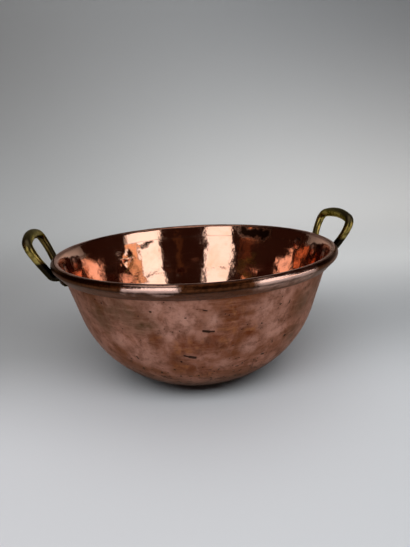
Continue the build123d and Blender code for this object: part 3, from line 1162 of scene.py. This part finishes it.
def make_camera():
    """The photograph's camera, turned about its own axes after it has looked at the rim. The
    sensor's width lies along the picture's height, which is its longer side."""
    elevation = radians(camera_elevation)
    azimuth = radians(camera_azimuth)
    back = Vector((-sin(azimuth) * cos(elevation), -cos(azimuth) * cos(elevation), sin(elevation)))
    forward = -back
    right = Vector((cos(azimuth), -sin(azimuth), 0))
    up = right.cross(forward)
    for axis, angle in (("up", camera_yaw), ("right", camera_pitch), ("forward", camera_roll)):
        pivot = {"up": up, "right": right, "forward": forward}[axis]
        spin = Matrix.Rotation(radians(angle), 3, pivot)
        forward, right, up = spin @ forward, spin @ right, spin @ up
    camera = bpy.data.objects.new("camera", bpy.data.cameras.new("camera"))
    camera.data.sensor_width = sensor_width
    camera.data.lens = sensor_width * focal_pixels / picture_height
    camera.data.clip_start = near_clip
    pose = Matrix((right, up, -forward)).transposed().to_4x4()
    pose.translation = (Vector((0, 0, wire_height)) + back * camera_distance) * MM
    camera.matrix_world = pose
    bpy.context.scene.collection.objects.link(camera)
    bpy.context.scene.camera = camera


def backdrop_outline():
    """Floor, bend and back wall, as distances behind the object and heights. The points along
    the floor are closer near the object, where its grey changes most."""
    front, back, bend, top = -4.0, 2.2, 1.2, 1.6
    bend_steps = 24
    bend_start = back - bend
    outline = [(front, 0.0), (-1.5, 0.0), (-0.5, 0.0), (0.3, 0.0), (bend_start, 0.0)]
    for i in range(1, bend_steps + 1):
        angle = radians(90) * i / bend_steps
        outline.append((bend_start + bend * sin(angle), bend * (1 - cos(angle))))
    outline.append((back, top))
    return outline


def grey_card_painted_shade():
    """Matt grey card with painted shade: its grey deepens behind the object as a painted shadow, and
    towards the top, more on the left than on the right, as a painted fall-off of the light. It
    follows the run along the sheet and the place across the view."""
    material, tree, shader = new_material("grey_card_painted_shade")
    run = add(tree, "ShaderNodeAttribute", attribute_name="run").outputs["Fac"]
    side = add(tree, "ShaderNodeAttribute", attribute_name="side").outputs["Fac"]
    first_run, last_run = -0.5, 3.5
    place = add(
        tree, "ShaderNodeMapRange", {"Value": run, "From Min": first_run, "From Max": last_run}
    ).outputs[0]
    shades = []
    for stops in (
        ((-0.20, "#d8dbe0"), (0.08, "#9fa1a3"), (0.22, "#9b9d9f"), (1.2, "#cbd0d2"), (2.8, "#a7a9aa")),
        ((-0.12, "#d4d9de"), (0.13, "#b3b8bc"), (0.6, "#eef3f5"), (1.2, "#f7fbfc"), (3.1, "#979a9d")),
    ):
        ramp = add(tree, "ShaderNodeValToRGB", {"Fac": place})
        ramp.color_ramp.interpolation = "EASE"
        marks = ramp.color_ramp.elements
        while len(marks) < len(stops):
            marks.new(0.5)
        for mark, (stop, shade) in zip(marks, stops):
            mark.position = (stop - first_run) / (last_run - first_run)
            mark.color = colour(shade)
        shades.append(ramp.outputs[0])
    left_shade, right_shade = shades
    right = add(
        tree,
        "ShaderNodeMapRange",
        {"Value": side, "From Min": -0.9, "From Max": 0.6},
        interpolation_type="SMOOTHSTEP",
    ).outputs[0]
    tint = add(
        tree, "ShaderNodeMix", {0: right, 6: left_shade, 7: right_shade}, data_type="RGBA"
    ).outputs[2]
    tree.links.new(tint, shader.inputs["Base Color"])
    shader.inputs["Roughness"].default_value = 0.9
    return material


def make_floor():
    """One seamless sheet of card, square to the camera."""
    outline = backdrop_outline()
    runs = [outline[0][0]]
    for (y0, z0), (y1, z1) in zip(outline, outline[1:]):
        runs.append(runs[-1] + hypot(y1 - y0, z1 - z0))
    first_column, column_gap, width = -2.0, 0.25, 18
    columns = [first_column + column_gap * i for i in range(width)]
    points = [(x, y, z) for y, z in outline for x in columns]
    faces = []
    for row in range(len(outline) - 1):
        for i in range(row * width, row * width + width - 1):
            faces.append((i, i + 1, i + 1 + width, i + width))
    mesh = bpy.data.meshes.new("floor")
    mesh.from_pydata(points, [], faces)
    mesh.transform(Matrix.Rotation(-radians(camera_azimuth), 4, "Z"))
    # The place across the view is measured in half widths, which grow with the distance
    half_widths = [0.5 + 0.4 * max(run, 0) for run in runs]
    for key, values in (
        ("run", [run for run in runs for x in columns]),
        ("side", [x / half_width for half_width in half_widths for x in columns]),
    ):
        attribute = mesh.attributes.new(key, "FLOAT", "POINT")
        attribute.data.foreach_set("value", values)
    for polygon in mesh.polygons:
        polygon.use_smooth = True
    mesh.materials.append(grey_card_painted_shade())
    floor = bpy.data.objects.new("floor", mesh)
    bpy.context.scene.collection.objects.link(floor)


def area_light(name, place, away, width, height, radiance, tint="#ffffff"):
    """A rectangle of light that the camera doesn't see, with its back turned away."""
    light = bpy.data.lights.new(name, "AREA")
    light.shape = "RECTANGLE"
    light.size = width
    light.size_y = height
    light.color = colour(tint)[:3]
    light.energy = radiance * pi * width * height
    holder = bpy.data.objects.new(name, light)
    holder.location = place
    holder.rotation_euler = away.to_track_quat("Z", "Y").to_euler()
    holder.visible_camera = False
    bpy.context.scene.collection.objects.link(holder)
    return holder


def make_soft_box(name, azimuth, width_angle, bottom_angle, top_angle, radiance, tint="#ffffff"):
    """A light that the metal mirrors. The fills light the floor in its place."""
    width = 2 * soft_box_distance * tan(radians(width_angle / 2))
    bottom = wire_height * MM + soft_box_distance * tan(radians(bottom_angle))
    bottom = max(soft_box_clearance, bottom)
    height = wire_height * MM + soft_box_distance * tan(radians(top_angle)) - bottom
    angle = radians(azimuth)
    away = Vector((sin(angle), cos(angle), 0))
    place = away * soft_box_distance + Vector((0, 0, bottom + height / 2))
    area_light(name, place, away, width, height, radiance, tint).visible_diffuse = False


def make_fill(name, target, azimuth, elevation, distance, width, height, radiance):
    """A wide soft light that faces a target, and isn't mirrored in the metal."""
    bearing, rise = radians(azimuth), radians(elevation)
    away = Vector((sin(bearing) * cos(rise), cos(bearing) * cos(rise), sin(rise)))
    place = Vector(target) + away * distance
    area_light(name, place, away, width, height, radiance).visible_glossy = False


def make_world():
    """A dim brown room under a pale ceiling. The camera sees the grey of the backdrop there."""
    world = bpy.data.worlds.new("studio")
    bpy.context.scene.world = world
    world.use_nodes = True
    tree = world.node_tree
    direction = add(tree, "ShaderNodeTexCoord").outputs["Generated"]
    rise = add(tree, "ShaderNodeSeparateXYZ", {0: direction}).outputs[2]
    low_edge, high_edge = ceiling_edge
    ceiling = add(
        tree,
        "ShaderNodeMapRange",
        {"Value": rise, "From Min": sin(radians(low_edge)), "From Max": sin(radians(high_edge))},
        interpolation_type="SMOOTHSTEP",
    ).outputs[0]
    room = add(
        tree, "ShaderNodeMix", {0: ceiling, 6: colour("#28150e"), 7: colour("#c9bfb8")}, data_type="RGBA"
    ).outputs[2]
    camera_ray = add(tree, "ShaderNodeLightPath").outputs["Is Camera Ray"]
    shade = add(
        tree, "ShaderNodeMix", {0: camera_ray, 6: room, 7: colour("#9b9b99")}, data_type="RGBA"
    ).outputs[2]
    tree.links.new(shade, tree.nodes["Background"].inputs["Color"])


def main():
    bpy.context.scene.view_settings.view_transform = "Standard"
    metals = {"handle": aged_brass(), "rivet": rivet_copper(), "rim": iron_wire(), "pan": copper_sheet()}
    for name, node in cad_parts.items():
        node.data.materials.clear()
        node.data.materials.append(metals[name.split("_")[0]])
    make_bowl(metals["pan"])
    make_camera()
    make_floor()
    for soft_box in soft_boxes:
        make_soft_box(*soft_box)
    for fill in fills:
        make_fill(*fill)
    make_world()


main()
